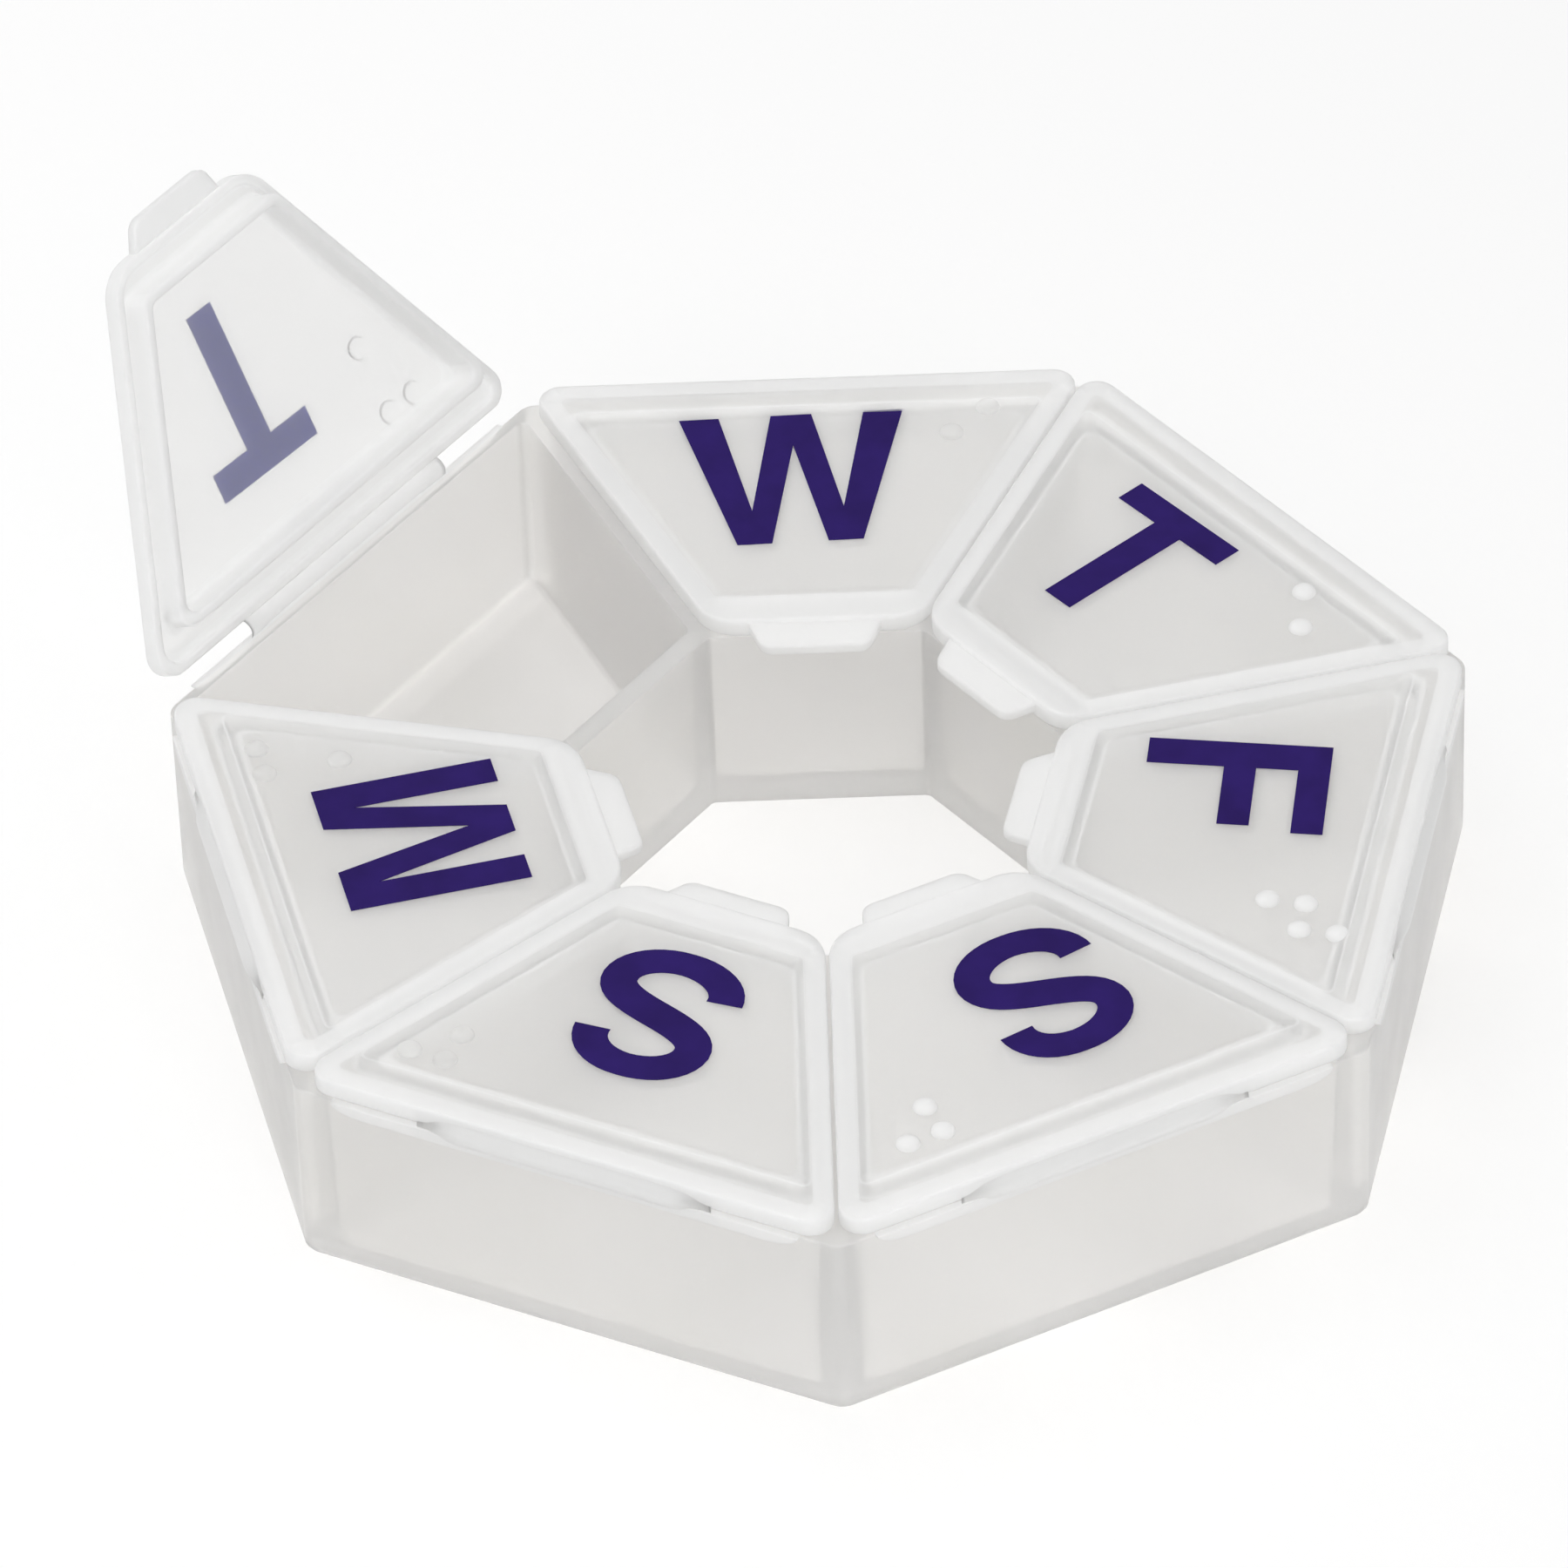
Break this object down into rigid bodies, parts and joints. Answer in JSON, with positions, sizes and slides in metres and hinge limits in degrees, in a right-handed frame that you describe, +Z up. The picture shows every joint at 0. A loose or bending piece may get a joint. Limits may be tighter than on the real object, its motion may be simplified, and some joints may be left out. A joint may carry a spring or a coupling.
{
  "type": "weekly pill organizer",
  "caption": "Ring-shaped weekly pill organizer in frosted translucent plastic, with a film-hinged lid over each day's compartment and a finger tab on every lid.",
  "frame": {"origin": "on the table, under the middle of the whole object's box with Tuesday's lid open as in the picture", "axes": "+Z up; -Y points at the ring's corner between the Sunday and Saturday lids, nearest the camera; +X to the picture's right, along the longest extent"},
  "size_m": [0.1198, 0.1138, 0.053],
  "materials": {
    "tray_frosted": "frosted translucent polypropylene",
    "lid_frosted": "frosted translucent polypropylene with a clearer window",
    "hinge_film": "thin flexed polypropylene, slightly whitened",
    "printed_ink": "dark indigo pad-printed ink"
  },
  "bodies": {
    "tray": {"tray": "tray_frosted", "hinge_sunday": "hinge_film", "hinge_monday": "hinge_film", "hinge_tuesday": "hinge_film", "hinge_wednesday": "hinge_film", "hinge_thursday": "hinge_film", "hinge_friday": "hinge_film", "hinge_saturday": "hinge_film"},
    "lid_sunday": {"lid_sunday": "lid_frosted"},
    "lid_monday": {"lid_monday": "lid_frosted"},
    "lid_tuesday": {"lid_tuesday": "lid_frosted"},
    "lid_wednesday": {"lid_wednesday": "lid_frosted"},
    "lid_thursday": {"lid_thursday": "lid_frosted"},
    "lid_friday": {"lid_friday": "lid_frosted"},
    "lid_saturday": {"lid_saturday": "lid_frosted"}
  },
  "joints": [
    {"name": "sunday_lid_hinge", "type": "hinge", "parent": "tray", "child": "lid_sunday", "pos_m": [-0.02139, -0.04669, 0.02055], "axis": [0.901, -0.4339, 0], "range_deg": [0, 180], "deforming": ["hinge_sunday"]},
    {"name": "monday_lid_hinge", "type": "hinge", "parent": "tray", "child": "lid_monday", "pos_m": [-0.05077, -0.00985, 0.02055], "axis": [0.2225, -0.9749, 0], "range_deg": [0, 180], "deforming": ["hinge_monday"]},
    {"name": "tuesday_lid_hinge", "type": "hinge", "parent": "tray", "child": "lid_tuesday", "pos_m": [-0.04029, 0.0361, 0.02055], "axis": [-0.6235, -0.7818, 0], "range_deg": [-119.5, 60.5], "deforming": ["hinge_tuesday"]},
    {"name": "wednesday_lid_hinge", "type": "hinge", "parent": "tray", "child": "lid_wednesday", "pos_m": [0.00217, 0.05655, 0.02055], "axis": [-1, 0, 0], "range_deg": [0, 180], "deforming": ["hinge_wednesday"]},
    {"name": "thursday_lid_hinge", "type": "hinge", "parent": "tray", "child": "lid_thursday", "pos_m": [0.04463, 0.0361, 0.02055], "axis": [-0.6235, 0.7818, 0], "range_deg": [0, 180], "deforming": ["hinge_thursday"]},
    {"name": "friday_lid_hinge", "type": "hinge", "parent": "tray", "child": "lid_friday", "pos_m": [0.05512, -0.00985, 0.02055], "axis": [0.2225, 0.9749, 0], "range_deg": [0, 180], "deforming": ["hinge_friday"]},
    {"name": "saturday_lid_hinge", "type": "hinge", "parent": "tray", "child": "lid_saturday", "pos_m": [0.02574, -0.04669, 0.02055], "axis": [0.901, 0.4339, 0], "range_deg": [0, 180], "deforming": ["hinge_saturday"]}
  ]
}
